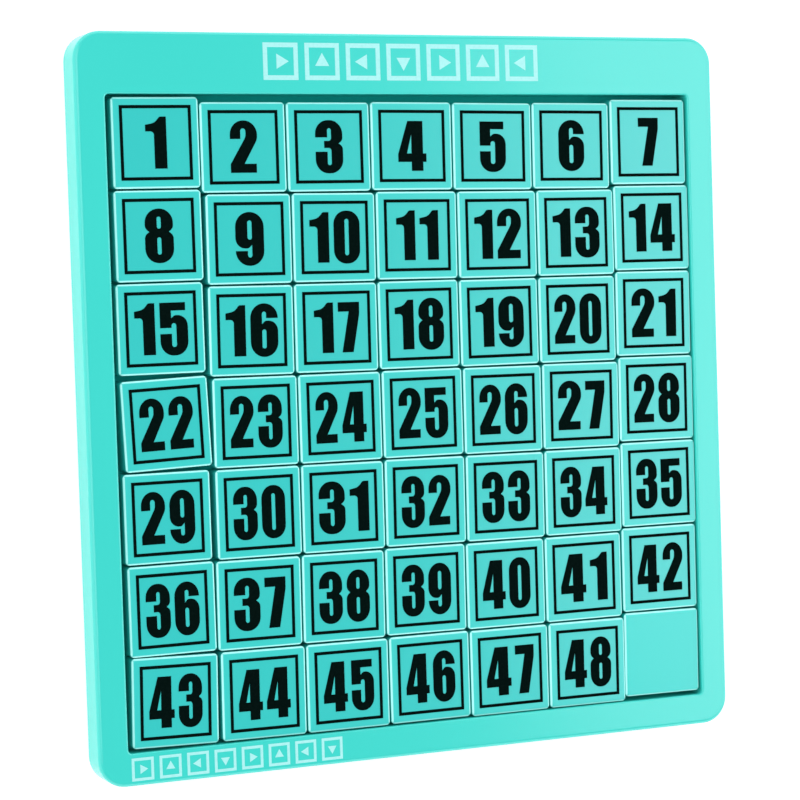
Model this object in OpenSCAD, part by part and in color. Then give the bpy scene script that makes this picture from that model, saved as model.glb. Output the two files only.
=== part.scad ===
// Magnetic sliding number puzzle, seven by seven.
// Lying on its back: +Z comes out of the open face, +Y points to the wide rim above row one.
// The origin is the middle of the underside. All sizes are in millimetres.

/* [Play area] */
// Tiles along each side of the square
tiles_per_side = 7; // [4:1:7]
// Distance from one tile to the next
tile_pitch = 22.95; // [22.9:0.05:24]
// Side of one square tile
tile_w = 22.5; // [20:0.1:22.5]
// Thickness of a tile
tile_h = 6.38; // [4:0.01:6.4]
// Free space left over beside the tiles, along each side
play_slack = 1.95; // [1.95:0.05:3]

/* [Tile] */
// Radius of a tile's upright corners
tile_corner_r = 1; // [0.7:0.1:2]
// Rounding of a tile's upper edges
tile_edge_r = 0.6; // [0.2:0.05:0.7]
// Diameter of the magnet under a tile
magnet_d = 10; // [6:0.5:14]
// Thickness of the magnet
magnet_h = 2; // [1:0.1:2.5]
// Glue gap round the magnet
magnet_gap = 0.08; // [0.05:0.01:0.2]

/* [How the tiles lie] */
// Sideways slip of each row, from the first row to the last
row_slip = [-0.5, 0.25, 0.05, 0.4, 0.4, -0.25, 0.15];
// Sideways slip of the tiles of the first column, which lie apart from the others
first_slip = [-0.4, -0.45, -0.75, -0.2, -0.7, -0.35, -0.4];
// How far the plain tile lies left of the tiles above it
plain_slip = 0.25; // [0:0.05:0.25]
// Slip of each column towards the wide rim, from the first column to the last
column_slip = [0.1, -0.15, -0.2, -0.13, -0.33, -0.32, 0.56];
// How many tiles of the first column stand pushed up towards the wide rim
pushed_tiles = 3; // [0:1:4]
// How far those tiles are pushed up
pushed_by = 1; // [0:0.05:1]
// Turn of the one tile that lies askew, in degrees
askew_turn = 2; // [-2:0.1:2]
// How far that tile is pushed up
askew_by = 0.3; // [0.2:0.05:0.4]
// Turn of the tile in the lower left corner, in degrees
corner_turn = -1.1; // [-1.1:0.1:1.1]
// Largest small turn of the other tiles, in degrees
loose_turn = 0.25; // [0:0.05:0.3]

/* [Frame] */
// Width of the two side rims
rim_w = 7.6; // [6.5:0.1:12]
// Width of the rim below the last row
low_rim_w = 8.2; // [6.5:0.1:12]
// Width of the wide rim above the first row
wide_rim_w = 15.35; // [10:0.05:24]
// Height of the whole puzzle
total_h = 9.2; // [9.2:0.1:12]
// Radius of the frame's outer corners
frame_corner_r = 7; // [4:0.5:10]
// Rounding of the frame's outer upper edge
frame_edge_r = 1.2; // [0.5:0.1:1.6]
// Radius of the corners of the window
window_corner_r = 1.1; // [0.8:0.1:2]
// Rounding of the window's upper edge
window_edge_r = 0.5; // [0.2:0.05:0.6]
// Wall thickness of the moulded frame
wall = 1.6; // [1.2:0.1:2]

/* [Back cover and steel sheet] */
// Thickness of the back cover's plate
cover_h = 1.6; // [1.2:0.1:2]
// Open line between the back cover and the wall of the frame that it sits in
cover_gap = 0.15; // [0.1:0.05:0.2]
// Thickness of the coated steel sheet
sheet_h = 0.5; // [0.3:0.05:0.5]
// How far the steel sheet reaches under the frame on each side
sheet_lap = 3; // [2:0.1:3.5]
// Snap bumps along each edge of the back cover
bumps_per_side = 3; // [2:1:4]

/* [Hidden] */
last = tiles_per_side - 1;
// Gap round the steel sheet, and the smallest gap that keeps two pieces apart
sheet_gap = 0.15;
seat_gap = 0.02;
// How far a cutter reaches past a face, and how deep joined shapes sink into each other
cut = 1;
weld = 0.1;
window = tiles_per_side * tile_pitch + play_slack;
body_w = window + 2 * rim_w;
body_d = window + low_rim_w + wide_rim_w;
window_y = (low_rim_w - wide_rim_w) / 2;
// The tiles stand a little to the right of the window's middle and below it
tiles_x = 0.8;
tiles_y = window_y - 0.65;
// Most tiles lie turned a touch the same way
lean = -0.2;
sheet_z = cover_h;
floor_z = cover_h + sheet_h;
tile_z = floor_z + seat_gap;
sheet_w = window + 2 * sheet_lap;
askew_row = 3;
bump_w = 8;
bump_h = 1;
bump_out = 0.35;
dimple_gap = 0.1;
rib_gap = 0.4;
channel_top = total_h - wall;
cover_r = frame_corner_r - wall - cover_gap;
mark_d = 7;
mark_h = 0.15;
$fn = 64;

frame_colour = [0.36, 0.87, 0.84];
tile_colour = [0.31, 0.84, 0.8];
cover_colour = [0.45, 0.88, 0.84];
steel_colour = [0.05, 0.55, 0.52];
magnet_colour = [0.72, 0.72, 0.74];

// ---- Flat outlines ----

// A w by d rectangle, centred, with corners of radius r
module round_rect(w, d, r) {
    square([w - 2 * r, d], center = true);
    square([w, d - 2 * r], center = true);
    for (x = [-1, 1], y = [-1, 1]) translate([x * (w / 2 - r), y * (d / 2 - r)]) circle(r);
}

// Upright section of a block of width w and height h with upper edges rounded by e
module crowned_section(w, h, e) {
    translate([-w / 2, 0]) square([w, h - e]);
    translate([-w / 2 + e, 0]) square([w - 2 * e, h]);
    for (x = [-1, 1]) translate([x * (w / 2 - e), h - e]) circle(e);
}

// Upright section of a pocket of width w whose mouth, at height h, opens out round an edge of radius e
module flared_section(w, h, e) {
    translate([-w / 2, 0]) square([w, h + e]);
    difference() {
        translate([-w / 2 - e, h - e]) square([w + 2 * e, 2 * e]);
        for (x = [-1, 1]) translate([x * (w / 2 + e), h - e]) circle(e);
    }
}

// ---- Solids ----

// A rounded block standing on z = 0: two crossing bars and four turned corners share one section
module crowned_block(w, d, h, r, e) {
    bar(w - 2 * r) crowned_section(d, h, e);
    rotate(90) bar(d - 2 * r) crowned_section(w, h, e);
    corners(w, d, r) crowned_section(2 * r, h, e);
}

// The space of a window with rounded corners and a rounded upper edge, from z = 0 to above h
module flared_pocket(w, d, h, r, e) {
    bar(w - 2 * r) flared_section(d, h, e);
    rotate(90) bar(d - 2 * r) flared_section(w, h, e);
    corners(w, d, r) flared_section(2 * r, h, e);
}

// Pushes an upright section out into a bar along X
module bar(length) {
    translate([-length / 2, 0, 0]) rotate([90, 0, 90]) linear_extrude(length) children();
}

// Turns the right half of an upright section at the four corners of a rectangle
module corners(w, d, r) {
    for (x = [-1, 1], y = [-1, 1])
        translate([x * (w / 2 - r), y * (d / 2 - r), 0])
            rotate_extrude() intersection() {
                children();
                square([2 * r, 2 * total_h]);
            }
}

// Puts its children at each snap bump: along the four edges of the back cover, facing out
module each_bump() {
    for (side = [0:3]) {
        along = side % 2 == 0 ? body_w : body_d;
        across = side % 2 == 0 ? body_d : body_w;
        edge = -across / 2 + wall + cover_gap;
        for (k = [1:bumps_per_side])
            rotate(90 * side)
                translate([along * (k / (bumps_per_side + 1) - 0.5), edge, cover_h / 2])
                    children();
    }
}

// ---- Frame, cover and sheet ----

// Moulded frame: outer wall, flat rim and window wall, hollow from behind
module front_frame() {
    difference() {
        crowned_block(body_w, body_d, total_h, frame_corner_r, frame_edge_r);
        translate([0, window_y, 0]) flared_pocket(window, window, total_h, window_corner_r, window_edge_r);
        cover_recess();
        rim_channel();
        sheet_rebate();
        each_bump() dimple();
    }
    rim_ribs();
}

// Opening inside the outer wall that the back cover sits in
module cover_recess() {
    translate([0, 0, -cut]) linear_extrude(cover_h + cut)
        round_rect(body_w - 2 * wall, body_d - 2 * wall, frame_corner_r - wall);
}

// Hollow under the rim, between the outer wall and the window wall
module rim_channel() {
    window_wall = window + 2 * wall;
    difference() {
        translate([0, 0, -cut]) linear_extrude(channel_top + cut)
            round_rect(body_w - 2 * wall, body_d - 2 * wall, frame_corner_r - wall);
        translate([0, window_y, -2 * cut]) linear_extrude(channel_top + 3 * cut)
            round_rect(window_wall, window_wall, window_corner_r + wall);
    }
}

// Step under the window wall that takes the edge of the steel sheet
module sheet_rebate() {
    side = sheet_w + 2 * sheet_gap;
    translate([0, window_y, 0]) linear_extrude(floor_z + seat_gap) square(side, center = true);
}

// Stiffening ribs across the hollow of the rim
module rim_ribs() {
    rib_bottom = floor_z + rib_gap;
    rib_h = channel_top - rib_bottom + weld;
    step = body_w / (bumps_per_side + 1);
    for (k = [0:bumps_per_side]) {
        x = (k - bumps_per_side / 2) * step;
        rib(x, window_y + window / 2 + wall / 2, wall, wide_rim_w - wall, rib_bottom, rib_h);
        rib(x, window_y - window / 2 - low_rim_w + wall / 2, wall, low_rim_w - wall, rib_bottom, rib_h);
        for (side = [-1, 1])
            translate([side * (window / 2 + rim_w / 2) - (rim_w - wall) / 2, x, rib_bottom])
                cube([rim_w - wall, wall, rib_h]);
    }
}

// One rib that runs along Y
module rib(x, y, thick, length, bottom, high) {
    translate([x - thick / 2, y, bottom]) cube([thick, length, high]);
}

// Dimple inside the outer wall that a snap bump clicks into
module dimple() {
    high = bump_h + 2 * dimple_gap;
    depth = bump_out + dimple_gap;
    translate([-bump_w / 2 - dimple_gap, -depth, -high / 2]) cube([bump_w + 2 * dimple_gap, depth, high]);
}

// Back cover: plate inside the frame's wall, with snap bumps and shallow round moulding marks
module back_cover() {
    inset = wall + cover_gap;
    difference() {
        linear_extrude(cover_h) round_rect(body_w - 2 * inset, body_d - 2 * inset, cover_r);
        moulding_marks();
    }
    each_bump() snap_bump();
}

// Low ridge on the edge of the cover
module snap_bump() {
    half = bump_h / 2;
    translate([-bump_w / 2, 0, 0]) rotate([90, 0, 90]) linear_extrude(bump_w)
        polygon([[weld, -half], [-bump_out, -half / 3], [-bump_out, half / 3], [weld, half]]);
}

// Round marks left by the ejector pins of the mould, in rows over the underside
module moulding_marks() {
    for (x = [-1:1], y = [-1:1])
        translate([x * body_w / 3, y * body_d / 3, -cut]) cylinder(d = mark_d, h = cut + mark_h);
}

// Coated steel sheet that the magnets hold on to
module steel_sheet() {
    translate([0, window_y, sheet_z]) linear_extrude(sheet_h) round_rect(sheet_w, sheet_w, window_corner_r);
}

// ---- Tiles ----

// A small turn that differs from tile to tile
function small_turn(row, col) = loose_turn * sin(97 * row + 61 * col + 20) + lean;

// A tile's turn about Z
function tile_turn(row, col) =
    col > 0 ? small_turn(row, col) : row == askew_row ? askew_turn : row == last ? corner_turn : -lean;

// A tile's slip along X: the row's, less at the end of the row, and its own in the first column
function slip_x(row, col) =
    col == 0 ? first_slip[row] :
    col < last ? row_slip[row] :
    0.6 * row_slip[row] - (row == last ? plain_slip : 0);

// A tile's slip along Y: the column's, and more for the pushed tiles of the first column
function slip_y(row, col) =
    column_slip[col] + (col > 0 ? 0 : row < pushed_tiles ? pushed_by : row == askew_row ? askew_by : 0);

// Middle of a tile's underside
function tile_place(row, col) = [
    tiles_x + (col - last / 2) * tile_pitch + slip_x(row, col),
    tiles_y + (last / 2 - row) * tile_pitch + slip_y(row, col),
    tile_z
];

// Puts its children where the n-th tile lies, counting from 0 along the rows
module at_tile(n) {
    row = floor(n / tiles_per_side);
    col = n % tiles_per_side;
    translate(tile_place(row, col)) rotate(tile_turn(row, col)) children();
}

// One tile: moulded body with a round pocket, and the magnet glued into the pocket
module tile() {
    pocket_h = magnet_h + magnet_gap;
    color(tile_colour) difference() {
        crowned_block(tile_w, tile_w, tile_h, tile_corner_r, tile_edge_r);
        translate([0, 0, -cut]) cylinder(d = magnet_d + 2 * magnet_gap, h = cut + pocket_h);
    }
    color(magnet_colour) translate([0, 0, magnet_gap / 2]) cylinder(d = magnet_d, h = magnet_h);
}

// Name of the n-th tile's node
function tile_name(n) =
    n == tiles_per_side * tiles_per_side - 1 ? "tile_blank" : str("tile_", n < 9 ? "0" : "", n + 1);

// ---- Assembly ----

color(frame_colour) front_frame();
color(cover_colour) back_cover();
color(steel_colour) steel_sheet();
for (n = [0:tiles_per_side * tiles_per_side - 1])
    at_tile(n) tile();
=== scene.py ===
import math

import bmesh
import bpy
from mathutils import Matrix, Vector


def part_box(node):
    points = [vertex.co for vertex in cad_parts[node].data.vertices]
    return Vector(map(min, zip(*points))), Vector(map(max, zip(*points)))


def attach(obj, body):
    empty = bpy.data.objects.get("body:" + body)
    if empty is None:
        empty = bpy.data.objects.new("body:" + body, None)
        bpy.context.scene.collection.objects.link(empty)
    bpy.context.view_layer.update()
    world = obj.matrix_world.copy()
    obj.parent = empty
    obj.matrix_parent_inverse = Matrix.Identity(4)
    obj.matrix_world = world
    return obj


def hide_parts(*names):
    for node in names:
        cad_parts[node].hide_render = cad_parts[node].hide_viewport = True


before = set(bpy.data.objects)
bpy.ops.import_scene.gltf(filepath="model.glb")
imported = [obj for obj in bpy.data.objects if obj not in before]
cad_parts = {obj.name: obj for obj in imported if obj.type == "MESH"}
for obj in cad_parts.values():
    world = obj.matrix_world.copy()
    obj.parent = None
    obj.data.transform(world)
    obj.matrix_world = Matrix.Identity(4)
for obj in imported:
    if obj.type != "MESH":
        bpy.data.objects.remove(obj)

bl_info = {
    "name": "Sliding Number Puzzle",
    "version": (1, 0, 0),
    "blender": (4, 5, 0),
    "location": "3D View > Sidebar > Puzzle",
    "description": "Finishes a seven by seven magnetic number puzzle: shells, tiles, print and stage",
    "category": "Object",
}

MM = 0.001
FLOOR_HALF = 4.0
CAMERA_PLACE = (-256.31 * MM, 27.65 * MM, 598.54 * MM)
CAMERA_TURN = (-1.774, -23.113, -1.940)
WALL_GLOW = 2.15
CEILING_GLOW = 0.4
FLOOR_GLOW = 0.22
CREASE = math.radians(28)
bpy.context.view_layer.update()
TRAY = "tray"
TILES = sorted(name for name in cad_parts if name.startswith("tile_"))
NUMBERED = [name for name in TILES if name != "tile_blank"]


# ---- Small helpers ----

def linear(hex_colour):
    """An sRGB hex colour as linear RGBA."""
    parts = [int(hex_colour[i:i + 2], 16) / 255 for i in (1, 3, 5)]
    return tuple(c / 12.92 if c <= 0.04045 else ((c + 0.055) / 1.055) ** 2.4 for c in parts) + (1.0,)


def node(tree, kind, links=None, **settings):
    """Adds a node, sets its attributes and input values, and links its inputs to other nodes' outputs."""
    new = tree.nodes.new(kind)
    inputs = settings.pop("inputs", {})
    for key, value in settings.items():
        setattr(new, key, value)
    for key, value in inputs.items():
        new.inputs[key].default_value = value
    for key, source in (links or {}).items():
        tree.links.new(source, new.inputs[key])
    return new


def blend(tree, factor, first, second):
    """A node that goes from one colour to a second by a factor; the first may be another node's output."""
    if isinstance(first, bpy.types.NodeSocket):
        return node(tree, "ShaderNodeMix", {"Factor": factor, "A": first}, data_type="RGBA",
                    inputs={"B": second})
    return node(tree, "ShaderNodeMix", {"Factor": factor}, data_type="RGBA",
                inputs={"A": first, "B": second})


def smooth_ramp(tree, value, start, end, low=0.0, high=1.0):
    """A node that eases from a low to a high result as a value goes from a start to an end."""
    return node(tree, "ShaderNodeMapRange", {"Value": value}, interpolation_type="SMOOTHSTEP",
                inputs={"From Min": start, "From Max": end, "To Min": low, "To Max": high})


def texture(tree, size, **details):
    """A noise texture in object coordinates, whose features measure about the given size in metres."""
    place = node(tree, "ShaderNodeTexCoord")
    return node(tree, "ShaderNodeTexNoise", {"Vector": place.outputs["Object"]},
                inputs={"Scale": 1 / size, **details})


def blank_material(name):
    """A new material with an empty node tree."""
    material = bpy.data.materials.new(name)
    material.use_nodes = True
    material.node_tree.nodes.clear()
    return material


def surface(material, shader, normal=None):
    """Links a shader to the material's output."""
    tree = material.node_tree
    if normal is not None:
        tree.links.new(normal, shader.inputs["Normal"])
    node(tree, "ShaderNodeOutputMaterial", {"Surface": shader.outputs[0]})
    return material


def object_from(name, mesh, material):
    """A new object at the origin that shows a mesh in one material."""
    mesh.name = name
    piece = bpy.data.objects.new(name, mesh)
    bpy.context.scene.collection.objects.link(piece)
    if material is not None:
        mesh.materials.clear()
        mesh.materials.append(material)
    return piece


def evaluated_mesh(maker):
    """The plain mesh that an object makes with its modifiers on; the object itself is then removed."""
    bpy.context.view_layer.update()
    graph = bpy.context.evaluated_depsgraph_get()
    mesh = bpy.data.meshes.new_from_object(maker.evaluated_get(graph), depsgraph=graph)
    bpy.data.objects.remove(maker)
    return mesh


# ---- Materials ----

def moulded_plastic(name, colour, shade, roughness, grain_mm, grain_depth_mm):
    """Injection-moulded ABS: even colour that drifts a little across the part, under a faintly wavy skin."""
    material = blank_material(name)
    tree = material.node_tree
    drift = texture(tree, 60 * MM, Detail=2.0, Roughness=0.5)
    mix = blend(tree, drift.outputs["Fac"], colour, shade)
    skin = texture(tree, grain_mm * MM, Detail=3.0)
    rough = node(tree, "ShaderNodeMapRange", {"Value": skin.outputs["Fac"]},
                 inputs={"To Min": roughness * 0.88, "To Max": roughness * 1.12})
    bump = node(tree, "ShaderNodeBump", {"Height": skin.outputs["Fac"]},
                inputs={"Strength": 0.35, "Distance": grain_depth_mm * MM})
    shader = node(tree, "ShaderNodeBsdfPrincipled",
                  {"Base Color": mix.outputs["Result"], "Roughness": rough.outputs["Result"]},
                  inputs={"IOR": 1.53})
    return surface(material, shader, bump.outputs["Normal"])


def tile_plastic(name, colour, shade, film, film_half, edge, highlight_reach, highlight_level):
    """Moulded ABS of a tile. Inside the printed square a clear primer leaves the colour a touch duller, and
    the rounding of the upper edge is mixed towards a pale edge colour: a painted highlight, a paler line round
    each tile."""
    material = moulded_plastic(name, colour, shade, 0.24, 1.6, 0.012)
    tree = material.node_tree
    shader = next(n for n in tree.nodes if n.type == "BSDF_PRINCIPLED")
    plain = shader.inputs["Base Color"].links[0].from_socket
    place = node(tree, "ShaderNodeUVMap", uv_map="tile")
    split = node(tree, "ShaderNodeSeparateXYZ", {"Vector": place.outputs["UV"]})
    reach_x = node(tree, "ShaderNodeMath", {0: split.outputs["X"]}, operation="ABSOLUTE")
    reach_y = node(tree, "ShaderNodeMath", {0: split.outputs["Y"]}, operation="ABSOLUTE")
    reach = node(tree, "ShaderNodeMath", {0: reach_x.outputs[0], 1: reach_y.outputs[0]},
                 operation="MAXIMUM")
    if film_half:
        inside = smooth_ramp(tree, reach.outputs[0], film_half, film_half * 0.97)
        plain = blend(tree, inside.outputs["Result"], plain, film).outputs["Result"]
    body = node(tree, "ShaderNodeTexCoord")
    height = node(tree, "ShaderNodeSeparateXYZ", {"Vector": body.outputs["Object"]})
    # Painted highlight: on the upper rounding the colour goes pale, standing in for the light that the rounded
    # edge catches.
    outer = smooth_ramp(tree, reach.outputs[0], highlight_reach, highlight_reach + 0.4)
    upper = smooth_ramp(tree, height.outputs["Z"], highlight_level, highlight_level + 0.2 * MM)
    rim = node(tree, "ShaderNodeMath", {0: outer.outputs["Result"], 1: upper.outputs["Result"]},
               operation="MULTIPLY")
    mix = blend(tree, rim.outputs[0], plain, edge)
    tree.links.new(mix.outputs["Result"], shader.inputs["Base Color"])
    return material


def pad_print(name, colour, shade, roughness, shine):
    """Pad-printed ink: a thin even film that shows faint specks where it took less well."""
    material = blank_material(name)
    tree = material.node_tree
    specks = texture(tree, 0.7 * MM, Detail=2.0)
    ramp = node(tree, "ShaderNodeMapRange", {"Value": specks.outputs["Fac"]},
                inputs={"From Min": 0.45, "From Max": 0.8})
    mix = blend(tree, ramp.outputs["Result"], colour, shade)
    shader = node(tree, "ShaderNodeBsdfPrincipled", {"Base Color": mix.outputs["Result"]},
                  inputs={"Roughness": roughness, "IOR": 1.48, "Specular IOR Level": shine})
    return surface(material, shader)


def coated_steel(name, colour, shade):
    """Thin sheet steel under a powder coat: a fine even grain that takes the shine off.
    Its turquoise is painted bounce light, giving the gaps between the tiles the teal of light thrown off the
    plastic walls.
    """
    material = blank_material(name)
    tree = material.node_tree
    grain = texture(tree, 0.6 * MM, Detail=4.0)
    mix = blend(tree, grain.outputs["Fac"], colour, shade)
    bump = node(tree, "ShaderNodeBump", {"Height": grain.outputs["Fac"]},
                inputs={"Strength": 0.3, "Distance": 0.02 * MM})
    shader = node(tree, "ShaderNodeBsdfPrincipled", {"Base Color": mix.outputs["Result"]},
                  inputs={"Roughness": 0.6, "IOR": 1.45, "Specular IOR Level": 0.1})
    return surface(material, shader, bump.outputs["Normal"])


def plated_magnet(name):
    """Sintered magnet with a bright nickel plating, finely scratched from tumbling."""
    material = blank_material(name)
    tree = material.node_tree
    scratches = texture(tree, 0.8 * MM, Detail=5.0, Distortion=1.5)
    rough = node(tree, "ShaderNodeMapRange", {"Value": scratches.outputs["Fac"]},
                 inputs={"To Min": 0.16, "To Max": 0.34})
    mix = blend(tree, scratches.outputs["Fac"], linear("#BDBBB5"), linear("#A7A6A2"))
    shader = node(tree, "ShaderNodeBsdfPrincipled",
                  {"Base Color": mix.outputs["Result"], "Roughness": rough.outputs["Result"]},
                  inputs={"Metallic": 1.0})
    return surface(material, shader)


def paper_floor(name, colour):
    """Seamless white background paper, lit from behind: matt, shadowless, with the faintest unevenness."""
    material = blank_material(name)
    tree = material.node_tree
    cloud = texture(tree, 0.25, Detail=2.0)
    mix = blend(tree, cloud.outputs["Fac"], colour, [c * 0.985 for c in colour[:3]] + [1.0])
    shader = node(tree, "ShaderNodeBsdfPrincipled", {"Base Color": mix.outputs["Result"]},
                  inputs={"Roughness": 0.9, "Specular IOR Level": 0.2, "Emission Strength": FLOOR_GLOW,
                          "Emission Color": (1, 1, 1, 1)})
    return surface(material, shader)


# ---- Shells: smooth copies of the CAD nodes ----

def smooth_copy(node_name, material):
    """A merged copy of a CAD node that shades smoothly round its curves and stays crisp at its edges."""
    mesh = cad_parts[node_name].data.copy()
    shape = bmesh.new()
    shape.from_mesh(mesh)
    bmesh.ops.remove_doubles(shape, verts=shape.verts, dist=0.0005 * MM)
    for face in shape.faces:
        face.smooth = True
    for edge in shape.edges:
        edge.smooth = len(edge.link_faces) == 2 and edge.calc_face_angle(0) < CREASE
    shape.to_mesh(mesh)
    shape.free()
    maker = object_from(node_name + "_shell", mesh, material)
    weigh = maker.modifiers.new("weigh", "WEIGHTED_NORMAL")
    weigh.keep_sharp = True
    weigh.weight = 100
    finished = evaluated_mesh(maker)
    return object_from(node_name + "_shell", finished, material)


def tile_turn(name):
    """How far a tile lies turned about Z, from the direction of its largest upright faces."""
    upright = [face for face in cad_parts[name].data.polygons if abs(face.normal.z) < 0.01]
    best = max(upright, key=lambda face: face.area)
    angle = math.atan2(best.normal.y, best.normal.x)
    return (angle + math.pi / 4) % (math.pi / 2) - math.pi / 4


def tile_frame(name):
    """The matrix that carries a tile's own coordinates, from the middle of its upper face, to its place."""
    low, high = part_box(name)
    middle = (low + high) / 2
    return Matrix.Translation((middle.x, middle.y, high.z)) @ Matrix.Rotation(tile_turn(name), 4, "Z")


def add_tile_map(mesh, place):
    """A UV map that holds each point's distance from the tile's middle, in millimetres."""
    to_tile = place.inverted()
    layer = mesh.uv_layers.new(name="tile")
    for loop in mesh.loops:
        point = to_tile @ mesh.vertices[loop.vertex_index].co
        layer.data[loop.index].uv = (point.x / MM, point.y / MM)


def paint_magnet(piece, material, tile_width):
    """Gives the faces of the magnet, the loose disc under the tile, its own material."""
    piece.data.materials.append(material)
    shape = bmesh.new()
    shape.from_mesh(piece.data)
    shape.faces.ensure_lookup_table()
    seen = set()
    for start in shape.faces:
        if start.index in seen:
            continue
        island = [start]
        seen.add(start.index)
        for face in island:
            for edge in face.edges:
                for other in edge.link_faces:
                    if other.index not in seen:
                        seen.add(other.index)
                        island.append(other)
        across = [v.co.x for f in island for v in f.verts]
        if max(across) - min(across) < 0.7 * tile_width:
            for face in island:
                face.material_index = 1
    shape.to_mesh(piece.data)
    shape.free()


# ---- Print ----

def rounded(corners, steps=8):
    """The points of a closed outline whose corners, given as x, y and radius, are rounded by arcs."""
    points = []
    for i, (x, y, radius) in enumerate(corners):
        here = Vector((x, y))
        back = Vector(corners[i - 1][:2]) - here
        ahead = Vector(corners[(i + 1) % len(corners)][:2]) - here
        if radius == 0:
            points.append(here)
            continue
        half = back.angle(ahead) / 2
        cut = radius / math.tan(half)
        start = here + back.normalized() * cut
        end = here + ahead.normalized() * cut
        centre = here + (back.normalized() + ahead.normalized()).normalized() * radius / math.sin(half)
        sweep = (start - centre).angle_signed(end - centre)
        count = max(2, round(steps * abs(sweep) / (math.pi / 2)))
        for k in range(count + 1):
            points.append(centre + Matrix.Rotation(-sweep * k / count, 2) @ (start - centre))
    return points


def half_turned(outlines, height):
    """Outlines turned by half a turn about the middle of a numeral."""
    width = max(x for outline in outlines for x, y, r in outline)
    return [[(width - x, height - y, r) for x, y, r in outline] for outline in outlines]


# Heavy condensed numerals. The flat ones are 100 units high, and the round ones pass that a little.
# Each outline lists its corners as x, y and radius; the second and third outlines are holes.
TOP = 102.6
FOOT = -2.6
SIX = [
    [(0, FOOT, 29), (59, FOOT, 29), (59, 68.5, 20), (32, 68.5, 9), (24.8, 61.5, 0), (24.8, 86.4, 4.6),
     (34, 86.4, 4.6), (34, 73.5, 0), (59, 73.5, 0), (59, TOP, 29), (0, TOP, 29)],
    [(24.8, 13.8, 4.6), (34, 13.8, 4.6), (34, 51.5, 4.6), (24.8, 51.5, 4.6)],
]
NUMERALS = {
    "0": [
        [(0, FOOT, 27), (57.5, FOOT, 27), (57.5, TOP, 27), (0, TOP, 27)],
        [(24.2, 13.8, 4.4), (33.2, 13.8, 4.4), (33.2, 86.4, 4.4), (24.2, 86.4, 4.4)],
    ],
    "1": [
        [(17.3, 0, 0), (42.3, 0, 0), (42.3, 100, 0), (29, 100, 6), (19.5, 88, 22), (0, 84.4, 0),
         (0, 71.6, 0), (17.3, 71.6, 7)],
    ],
    "2": [
        [(0, 0, 0), (53.6, 0, 0), (53.6, 17.4, 0), (28.6, 17.4, 0), (56, 65, 22), (56, 102, 27.5),
         (0, 102, 27.5), (0, 66, 0), (21.4, 66, 0), (21.4, 86.6, 5.4), (32.4, 86.6, 5.4),
         (32.4, 70, 16), (0, 17, 3)],
    ],
    "3": [
        [(0, 40.2, 0), (0, FOOT, 27), (58.2, FOOT, 27), (58.2, 50.5, 11), (49.5, 56.5, 0),
         (57.6, 62.5, 11), (57.6, TOP, 27), (0, TOP, 27), (0, 68.6, 0), (25.3, 68.6, 0),
         (25.3, 86.6, 4.2), (33.8, 86.6, 4.2), (33.8, 61.6, 6), (18.6, 61.6, 0), (18.6, 47.6, 0),
         (33.8, 47.6, 6), (33.8, 13.6, 4.2), (25.3, 13.6, 4.2), (25.3, 40.2, 0)],
    ],
    "4": [
        [(0, 18, 0), (29.2, 18, 0), (29.2, 0, 0), (54.4, 0, 0), (54.4, 18, 0), (61.6, 18, 0),
         (61.6, 35, 0), (54.4, 35, 0), (54.4, 100, 0), (21.5, 100, 0), (0, 33.5, 0)],
        [(19.2, 35, 0), (29.2, 35, 0), (29.2, 73.5, 0)],
    ],
    "5": [
        [(0, 100, 0), (0, 51, 0), (24, 51, 0), (24, 60, 4.8), (34, 60, 4.8), (34, 13.8, 4.8),
         (24, 13.8, 4.8), (24, 39.5, 0), (0, 39.5, 0), (0, FOOT, 27), (58, FOOT, 27),
         (58, 75.4, 21), (31, 75.4, 8), (23.6, 69.5, 0), (23.6, 84.4, 0), (53.6, 84.4, 0),
         (53.6, 100, 0)],
    ],
    "6": SIX,
    "7": [
        [(0, 100, 0), (0, 81.3, 0), (23.8, 81.3, 0), (8.2, 0, 0), (32.6, 0, 0), (47.2, 77, 40),
         (47.2, 100, 0)],
    ],
    "8": [
        [(0, FOOT, 27.5), (57.7, FOOT, 27.5), (57.7, 51, 13), (48.6, 57.8, 0), (57.2, 64.6, 13),
         (57.2, TOP, 27.5), (0.5, TOP, 27.5), (0.5, 64.6, 13), (9.1, 57.8, 0), (0, 51, 13)],
        [(24.5, 63.8, 4), (32.8, 63.8, 4), (32.8, 87, 4), (24.5, 87, 4)],
        [(24.5, 13.8, 4), (32.8, 13.8, 4), (32.8, 47.2, 4), (24.5, 47.2, 4)],
    ],
    "9": half_turned(SIX, TOP + FOOT),
}
NUMERAL_HEIGHT = 100
NUMERAL_GAP = 10.5
PAIR_LIMIT = 108.5
PAIR_SQUEEZE = 0.97


def number_outlines(text, unit):
    """Outlines of one or two numerals, centred on the origin; a wide pair is squeezed to its limit."""
    outlines = []
    pen = 0
    for character in text:
        glyph = NUMERALS[character]
        outlines += [[(x + pen, y) for x, y in rounded(outline)] for outline in glyph]
        pen += max(x for outline in glyph for x, y, r in outline) + NUMERAL_GAP
    width = pen - NUMERAL_GAP
    squeeze = min(1.0 if len(text) == 1 else PAIR_SQUEEZE, PAIR_LIMIT / width)
    return [[((x - width / 2) * squeeze * unit, (y - NUMERAL_HEIGHT / 2) * unit) for x, y in outline]
            for outline in outlines]


def ink_mesh(name, outlines, thickness):
    """A thin slab of ink with the given outlines; an outline inside another is a hole."""
    curve = bpy.data.curves.new(name, "CURVE")
    curve.dimensions = "2D"
    curve.fill_mode = "BOTH"
    curve.extrude = thickness / 2
    for outline in outlines:
        line = curve.splines.new("POLY")
        line.points.add(len(outline) - 1)
        for point, (x, y) in zip(line.points, outline):
            point.co = (x, y, 0, 1)
        line.use_cyclic_u = True
    maker = bpy.data.objects.new(name, curve)
    bpy.context.scene.collection.objects.link(maker)
    mesh = evaluated_mesh(maker)
    bpy.data.curves.remove(curve)
    return mesh


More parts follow.
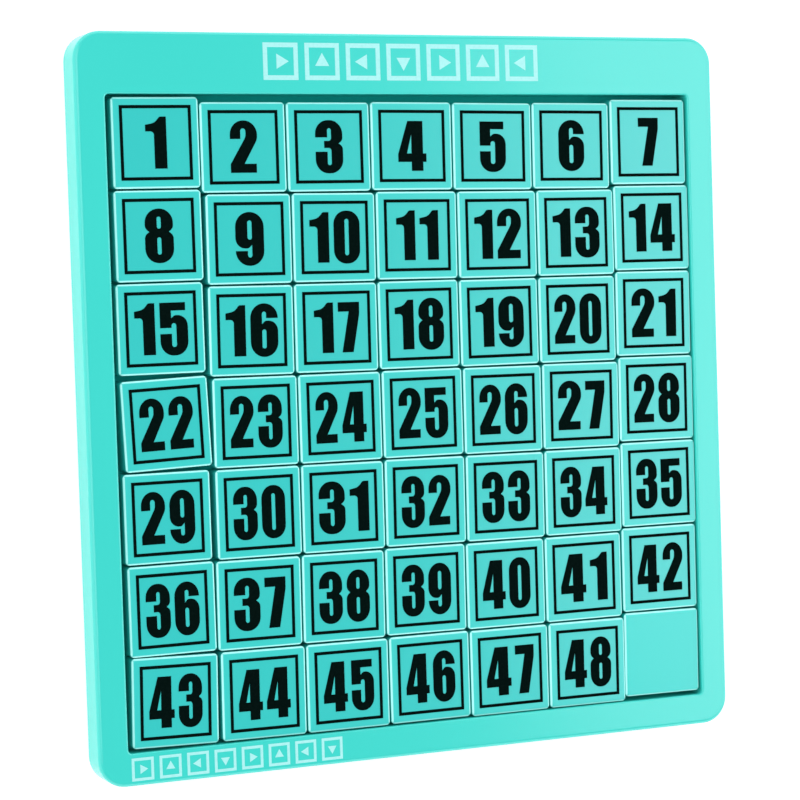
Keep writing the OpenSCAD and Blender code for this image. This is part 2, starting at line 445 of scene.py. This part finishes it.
def new_tree(name, inputs):
    """An empty Geometry Nodes tree with named inputs; returns it with its input and output nodes."""
    tree = bpy.data.node_groups.new(name, "GeometryNodeTree")
    tree.is_modifier = True
    tree.interface.new_socket("Geometry", in_out="INPUT", socket_type="NodeSocketGeometry")
    for label, kind, default in inputs:
        item = tree.interface.new_socket(label, in_out="INPUT", socket_type=kind)
        if default is not None:
            item.default_value = default
    tree.interface.new_socket("Geometry", in_out="OUTPUT", socket_type="NodeSocketGeometry")
    given = tree.nodes.new("NodeGroupInput").outputs
    out = tree.nodes.new("NodeGroupOutput")
    return tree, given, out


def run_tree(tree, name, values):
    """Runs a Geometry Nodes tree on an empty mesh and returns the plain mesh that it makes."""
    maker = bpy.data.objects.new(name, bpy.data.meshes.new(name))
    bpy.context.scene.collection.objects.link(maker)
    modifier = maker.modifiers.new("make", "NODES")
    modifier.node_group = tree
    for item in tree.interface.items_tree:
        if item.item_type == "SOCKET" and item.in_out == "INPUT" and item.name in values:
            modifier[item.identifier] = values[item.name]
    return evaluated_mesh(maker)


def ring_of(tree, side, line):
    """Nodes for a flat square ring whose middle line has the given side; returns its mesh output."""
    outer_side = node(tree, "ShaderNodeMath", {0: side, 1: line}, operation="ADD")
    inner_side = node(tree, "ShaderNodeMath", {0: side, 1: line}, operation="SUBTRACT")
    squares = [node(tree, "GeometryNodeCurvePrimitiveQuadrilateral",
                    {"Width": size.outputs[0], "Height": size.outputs[0]})
               for size in (outer_side, inner_side)]
    both = node(tree, "GeometryNodeJoinGeometry")
    for square in squares:
        tree.links.new(square.outputs["Curve"], both.inputs["Geometry"])
    return node(tree, "GeometryNodeFillCurve", {"Curve": both.outputs["Geometry"]}).outputs["Mesh"]


def thickened(tree, mesh, thickness):
    """Nodes that raise a flat mesh by a thickness and close it underneath."""
    raised = node(tree, "GeometryNodeExtrudeMesh", {"Mesh": mesh, "Offset Scale": thickness},
                  inputs={"Individual": False})
    under = node(tree, "GeometryNodeFlipFaces", {"Mesh": mesh})
    both = node(tree, "GeometryNodeJoinGeometry")
    tree.links.new(raised.outputs["Mesh"], both.inputs["Geometry"])
    tree.links.new(under.outputs["Mesh"], both.inputs["Geometry"])
    return node(tree, "GeometryNodeMergeByDistance", {"Geometry": both.outputs["Geometry"]},
                inputs={"Distance": 0.001 * MM}).outputs["Geometry"]


def placed(tree, geometry, place, turn):
    """Nodes that turn a geometry about Z and carry it to a place."""
    spin = node(tree, "ShaderNodeCombineXYZ", {"Z": turn})
    moved = node(tree, "GeometryNodeTransform",
                 {"Geometry": geometry, "Translation": place, "Rotation": spin.outputs[0]})
    return moved.outputs["Geometry"]


def finish_tree(tree, geometry, material, out):
    """Ends a tree in Realize Instances and Set Material."""
    real = node(tree, "GeometryNodeRealizeInstances", {"Geometry": geometry})
    dressed = node(tree, "GeometryNodeSetMaterial", {"Geometry": real.outputs[0], "Material": material})
    tree.links.new(dressed.outputs[0], out.inputs[0])


def printed_square_tree():
    """A square line printed on a tile: side, line width and ink thickness, at a place and a turn."""
    tree, given, out = new_tree("Printed square", [
        ("Side", "NodeSocketFloat", 17.7 * MM), ("Line", "NodeSocketFloat", 0.65 * MM),
        ("Ink", "NodeSocketFloat", 0.05 * MM), ("Place", "NodeSocketVector", None),
        ("Turn", "NodeSocketFloat", 0.0), ("Material", "NodeSocketMaterial", None)])
    flat = ring_of(tree, given["Side"], given["Line"])
    solid = thickened(tree, flat, given["Ink"])
    finish_tree(tree, placed(tree, solid, given["Place"], given["Turn"]), given["Material"], out)
    return tree


def motif_strip_tree():
    """A row of little printed squares, each with an arrow that turns a quarter further than the last."""
    tree, given, out = new_tree("Motif strip", [
        ("Count", "NodeSocketInt", 8), ("Size", "NodeSocketFloat", 7 * MM),
        ("Pitch", "NodeSocketFloat", 9 * MM), ("Line", "NodeSocketFloat", 0.6 * MM),
        ("Ink", "NodeSocketFloat", 0.05 * MM), ("Place", "NodeSocketVector", None),
        ("Material", "NodeSocketMaterial", None)])
    ring = ring_of(tree, given["Size"], given["Line"])
    reach = node(tree, "ShaderNodeMath", {0: given["Size"]}, operation="MULTIPLY", inputs={1: 0.27})
    head = node(tree, "GeometryNodeCurvePrimitiveCircle", {"Radius": reach.outputs[0]}, mode="RADIUS",
                inputs={"Resolution": 3})
    arrow = node(tree, "GeometryNodeFillCurve", {"Curve": head.outputs["Curve"]})
    icon = node(tree, "GeometryNodeJoinGeometry")
    tree.links.new(ring, icon.inputs["Geometry"])
    tree.links.new(arrow.outputs["Mesh"], icon.inputs["Geometry"])
    solid = thickened(tree, icon.outputs["Geometry"], given["Ink"])
    step = node(tree, "ShaderNodeCombineXYZ", {"X": given["Pitch"]})
    row = node(tree, "GeometryNodeMeshLine", {"Count": given["Count"], "Offset": step.outputs[0]})
    index = node(tree, "GeometryNodeInputIndex")
    quarter = node(tree, "ShaderNodeMath", {0: index.outputs[0]}, operation="MULTIPLY",
                   inputs={1: math.pi / 2})
    spin = node(tree, "ShaderNodeCombineXYZ", {"Z": quarter.outputs[0]})
    icons = node(tree, "GeometryNodeInstanceOnPoints",
                 {"Points": row.outputs["Mesh"], "Instance": solid, "Rotation": spin.outputs[0]})
    moved = node(tree, "GeometryNodeTransform", {"Geometry": icons.outputs["Instances"],
                                                 "Translation": given["Place"]})
    finish_tree(tree, moved.outputs["Geometry"], given["Material"], out)
    return tree


# ---- Settings ----

class TraySettings(bpy.types.PropertyGroup):
    """Colours of the frame and the back cover, and the gloss of the frame."""
    colour: bpy.props.FloatVectorProperty(
        name="Frame colour", description="Colour of the frame's plastic", subtype="COLOR",
        default=linear("#2FBEB4")[:3], min=0, max=1)
    shade: bpy.props.FloatVectorProperty(
        name="Frame shade", description="Slightly different colour that the plastic drifts to", subtype="COLOR",
        default=linear("#34C2B8")[:3], min=0, max=1)
    roughness: bpy.props.FloatProperty(
        name="Gloss", description="Roughness of the frame's face", subtype="FACTOR", default=0.2,
        min=0.05, max=1)


class PrintSettings(bpy.types.PropertyGroup):
    """Sizes and colours of the print."""
    square: bpy.props.FloatProperty(
        name="Printed square", description="Side of the printed square", default=17.7 * MM, unit="LENGTH")
    line: bpy.props.FloatProperty(
        name="Line width", description="Width of the printed line", default=0.8 * MM, unit="LENGTH")
    height: bpy.props.FloatProperty(
        name="Numeral height", description="Height of a flat numeral", default=12.8 * MM, unit="LENGTH")
    ink: bpy.props.FloatProperty(
        name="Ink thickness", description="How far the ink stands on the tile", default=0.05 * MM,
        unit="LENGTH")
    colour: bpy.props.FloatVectorProperty(
        name="Ink", description="Colour of the numbers", subtype="COLOR", default=linear("#040F0D")[:3],
        min=0, max=1)
    pale: bpy.props.FloatVectorProperty(
        name="Pale ink", description="Colour of the motifs on the rims", subtype="COLOR",
        default=linear("#98D6D4")[:3], min=0, max=1)


class TileSettings(bpy.types.PropertyGroup):
    """Colours of the tiles."""
    colour: bpy.props.FloatVectorProperty(
        name="Tile colour", description="Colour of the tiles' plastic", subtype="COLOR",
        default=linear("#2BB6B1")[:3], min=0, max=1)
    shade: bpy.props.FloatVectorProperty(
        name="Tile shade", description="Slightly different colour that the plastic drifts to", subtype="COLOR",
        default=linear("#2EBBB5")[:3], min=0, max=1)
    film: bpy.props.FloatVectorProperty(
        name="Primer film", description="Colour inside the printed square", subtype="COLOR",
        default=linear("#26B2AE")[:3], min=0, max=1)
    bare: bpy.props.FloatVectorProperty(
        name="Plain tile colour", description="Colour of the tile without print", subtype="COLOR",
        default=linear("#17B8B1")[:3], min=0, max=1)
    bare_shade: bpy.props.FloatVectorProperty(
        name="Plain tile shade", description="Slightly different colour that the plain tile drifts to",
        subtype="COLOR", default=linear("#1BBCB5")[:3], min=0, max=1)
    # Painted highlight: the edge colour is mixed into the upper rounding of every tile as a paler line that
    # stands in for the light the rounding catches; the rounding below sets where that painted line begins.
    edge: bpy.props.FloatVectorProperty(
        name="Edge", description="Colour that the polished rounding of the upper edge shows", subtype="COLOR",
        default=linear("#A6F0EC")[:3], min=0, max=1)
    rounding: bpy.props.FloatProperty(
        name="Edge rounding", description="Radius of the rounding of the upper edge", default=0.6 * MM,
        unit="LENGTH")


class StageSettings(bpy.types.PropertyGroup):
    """Camera and light."""
    lens: bpy.props.FloatProperty(
        name="Lens", description="Focal length of the camera", default=112.1, unit="CAMERA")
    key: bpy.props.FloatProperty(
        name="Key light", description="Power of the main soft light", default=5.4, unit="POWER")
    side: bpy.props.FloatProperty(
        name="Side light", description="Power of the light that the right side mirrors", default=4.5,
        unit="POWER")


# ---- Operators ----

class PUZZLE_OT_tray(bpy.types.Operator):
    """Finish the frame, the back cover and the steel sheet"""
    bl_idname = "puzzle.tray"
    bl_label = "Tray"

    def execute(self, context):
        settings = context.scene.puzzle_tray
        colour = (*settings.colour, 1.0)
        shade = (*settings.shade, 1.0)
        gloss = moulded_plastic("Moulded ABS, polished", colour, shade, settings.roughness, 2.2, 0.012)
        satin = moulded_plastic("Moulded ABS, satin", colour, shade, 0.42, 0.5, 0.02)
        # The sheet's coat is real; its turquoise colours are painted bounce light, giving the deep gaps between
        # the tiles the teal that light bounced off the plastic would give.
        steel = coated_steel("Powder-coated sheet steel", linear("#04A29A"), linear("#06A9A1"))
        for name, material, slot in (
                ("front_frame", gloss, "frame_plastic"), ("back_cover", satin, "cover_plastic"),
                ("steel_sheet", steel, "coated_steel")):
            piece = smooth_copy(name, material)
            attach(piece, TRAY)
            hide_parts(name)
        return {"FINISHED"}


class PUZZLE_OT_tiles(bpy.types.Operator):
    """Finish the tiles and the magnets under them"""
    bl_idname = "puzzle.tiles"
    bl_label = "Tiles"

    def execute(self, context):
        settings = context.scene.puzzle_tiles
        half = (context.scene.puzzle_print.square / MM) / 2
        colour, shade, film, bare, bare_shade, edge = [(*value, 1.0) for value in (
            settings.colour, settings.shade, settings.film,
            settings.bare, settings.bare_shade, settings.edge)]
        low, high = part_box("tile_02")  # a tile that lies nearly square, so its box gives its width
        reach = (high.x - low.x) / 2 / MM - settings.rounding / MM
        level = high.z - settings.rounding
        # The edge colour goes on as a painted highlight over the upper rounding of each tile, from the reach
        # and the level found here.
        printed = tile_plastic("Moulded ABS, tile", colour, shade, film, half, edge, reach, level)
        plain = tile_plastic("Moulded ABS, plain tile", bare, bare_shade, film, 0, edge, reach, level)
        magnet = plated_magnet("Nickel-plated magnet")
        for name in TILES:
            piece = smooth_copy(name, plain if name == "tile_blank" else printed)
            low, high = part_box(name)
            paint_magnet(piece, magnet, high.x - low.x)
            add_tile_map(piece.data, tile_frame(name))
            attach(piece, name)
            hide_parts(name)
        return {"FINISHED"}


class PUZZLE_OT_squares(bpy.types.Operator):
    """Print a square line on each numbered tile"""
    bl_idname = "puzzle.squares"
    bl_label = "Printed squares"

    def execute(self, context):
        settings = context.scene.puzzle_print
        ink = number_ink(settings)
        tree = printed_square_tree()
        for name in NUMBERED:
            place = tile_frame(name)
            mesh = run_tree(tree, name + "_square", {
                "Side": settings.square, "Line": settings.line, "Ink": settings.ink,
                "Place": place.translation, "Turn": place.to_euler().z, "Material": ink})
            piece = object_from(name + "_square", mesh, ink)
            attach(piece, name)
        return {"FINISHED"}


class PUZZLE_OT_numerals(bpy.types.Operator):
    """Print the numbers, in order, one on each numbered tile"""
    bl_idname = "puzzle.numerals"
    bl_label = "Numerals"

    def execute(self, context):
        settings = context.scene.puzzle_print
        ink = number_ink(settings)
        for name in NUMBERED:
            text = str(int(name.split("_")[1]))
            outlines = number_outlines(text, settings.height / NUMERAL_HEIGHT)
            mesh = ink_mesh(name + "_number", outlines, settings.ink)
            mesh.transform(tile_frame(name) @ Matrix.Translation((0, 0, settings.ink / 2)))
            piece = object_from(name + "_number", mesh, ink)
            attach(piece, name)
        return {"FINISHED"}


def number_ink(settings):
    """The ink of the numbers, made once."""
    name = "Pad-printed ink, black"
    known = bpy.data.materials.get(name)
    return known or pad_print(name, (*settings.colour, 1.0), linear("#071311"), 0.6, 0.0)


class PUZZLE_OT_motifs(bpy.types.Operator):
    """Print the plain motifs on the wide rim and below the last row"""
    bl_idname = "puzzle.motifs"
    bl_label = "Rim motifs"

    def execute(self, context):
        settings = context.scene.puzzle_print
        pale = pad_print("Pad-printed ink, pale", (*settings.pale, 1.0), linear("#90D0CE"), 0.4, 0.4)
        tree = motif_strip_tree()
        low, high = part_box("front_frame")
        for name, count, size, pitch, x, y in (
                ("wide_rim_motif", 7, 8.2 * MM, 11.2 * MM, -35.3 * MM, high.y - 7.2 * MM),
                ("low_rim_motif", 8, 5.0 * MM, 7.2 * MM, -77.8 * MM, low.y + 4.2 * MM)):
            mesh = run_tree(tree, name, {
                "Count": count, "Size": size, "Pitch": pitch, "Line": size / 7, "Ink": settings.ink,
                "Place": (x, y, high.z - 0.8 * settings.ink), "Material": pale})
            piece = object_from(name, mesh, pale)
            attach(piece, TRAY)
        return {"FINISHED"}


class PUZZLE_OT_stage(bpy.types.Operator):
    """Lay the floor and set the camera and the lights"""
    bl_idname = "puzzle.stage"
    bl_label = "Stage"

    def execute(self, context):
        settings = context.scene.puzzle_stage
        scene = context.scene
        scene.view_settings.view_transform = "Standard"
        corners = [(FLOOR_HALF * x, FLOOR_HALF * y, 0) for x, y in ((-1, -1), (1, -1), (1, 1), (-1, 1))]
        floor_mesh = bpy.data.meshes.new("floor")
        floor_mesh.from_pydata(corners, [], [(0, 1, 2, 3)])
        object_from("floor", floor_mesh, paper_floor("Background paper", linear("#FBFBFB")))

        data = bpy.data.cameras.new("camera")
        data.lens = settings.lens
        data.sensor_width = 36
        camera = bpy.data.objects.new("camera", data)
        camera.location = CAMERA_PLACE
        camera.rotation_euler = [math.radians(angle) for angle in CAMERA_TURN]
        scene.collection.objects.link(camera)
        scene.camera = camera

        soft_light("key_light", settings.key, (0.9, 0.8), (-0.62, 0.15, 0.95))
        soft_light("side_light", settings.side, (0.8, 0.53), (0.69, 0.05, 0.8), (0.9, 0.97, 1.0))
        scene.world = studio_walls()
        return {"FINISHED"}


def studio_walls():
    """White walls round the puzzle, bright near the floor and dimmer overhead, which its edges mirror."""
    world = bpy.data.worlds.new("Studio walls")
    world.use_nodes = True
    tree = world.node_tree
    tree.nodes.clear()
    place = node(tree, "ShaderNodeTexCoord")
    split = node(tree, "ShaderNodeSeparateXYZ", {"Vector": place.outputs["Generated"]})
    low = smooth_ramp(tree, split.outputs["Z"], 0.3, 0.7, WALL_GLOW, CEILING_GLOW)
    back = node(tree, "ShaderNodeBackground", {"Strength": low.outputs["Result"]},
                inputs={"Color": (1, 1, 1, 1)})
    node(tree, "ShaderNodeOutputWorld", {"Surface": back.outputs[0]})
    return world


def soft_light(name, power, size, place, tint=(1, 1, 1)):
    """A rectangular soft box that faces the puzzle."""
    data = bpy.data.lights.new(name, "AREA")
    data.shape = "RECTANGLE"
    data.size, data.size_y = size
    data.energy = power
    data.color = tint
    light = bpy.data.objects.new(name, data)
    light.location = place
    light.rotation_euler = (-Vector(place)).to_track_quat("-Z", "Y").to_euler()
    bpy.context.scene.collection.objects.link(light)
    return light


class PUZZLE_PT_panel(bpy.types.Panel):
    """Lists the steps that finish the puzzle"""
    bl_label = "Number puzzle"
    bl_idname = "PUZZLE_PT_panel"
    bl_space_type = "VIEW_3D"
    bl_region_type = "UI"
    bl_category = "Puzzle"

    def draw(self, context):
        scene = context.scene
        for group in (scene.puzzle_tray, scene.puzzle_tiles, scene.puzzle_print, scene.puzzle_stage):
            box = self.layout.box()
            for key in group.bl_rna.properties.keys():
                if key not in {"rna_type", "name"}:
                    box.prop(group, key)
        for step in STEPS:
            self.layout.operator(step.bl_idname)


STEPS = (PUZZLE_OT_tray, PUZZLE_OT_tiles, PUZZLE_OT_squares, PUZZLE_OT_numerals, PUZZLE_OT_motifs,
         PUZZLE_OT_stage)
GROUPS = {"puzzle_tray": TraySettings, "puzzle_tiles": TileSettings, "puzzle_print": PrintSettings,
          "puzzle_stage": StageSettings}


def register():
    for group in GROUPS.values():
        bpy.utils.register_class(group)
    for key, group in GROUPS.items():
        setattr(bpy.types.Scene, key, bpy.props.PointerProperty(type=group))
    for step in STEPS:
        bpy.utils.register_class(step)
    bpy.utils.register_class(PUZZLE_PT_panel)


def unregister():
    bpy.utils.unregister_class(PUZZLE_PT_panel)
    for step in reversed(STEPS):
        bpy.utils.unregister_class(step)
    for key, group in GROUPS.items():
        delattr(bpy.types.Scene, key)
        bpy.utils.unregister_class(group)


def main():
    """Registers the add-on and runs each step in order."""
    register()
    bpy.ops.puzzle.tray()
    bpy.ops.puzzle.tiles()
    bpy.ops.puzzle.squares()
    bpy.ops.puzzle.numerals()
    bpy.ops.puzzle.motifs()
    bpy.ops.puzzle.stage()


if __name__ == "__main__":
    main()
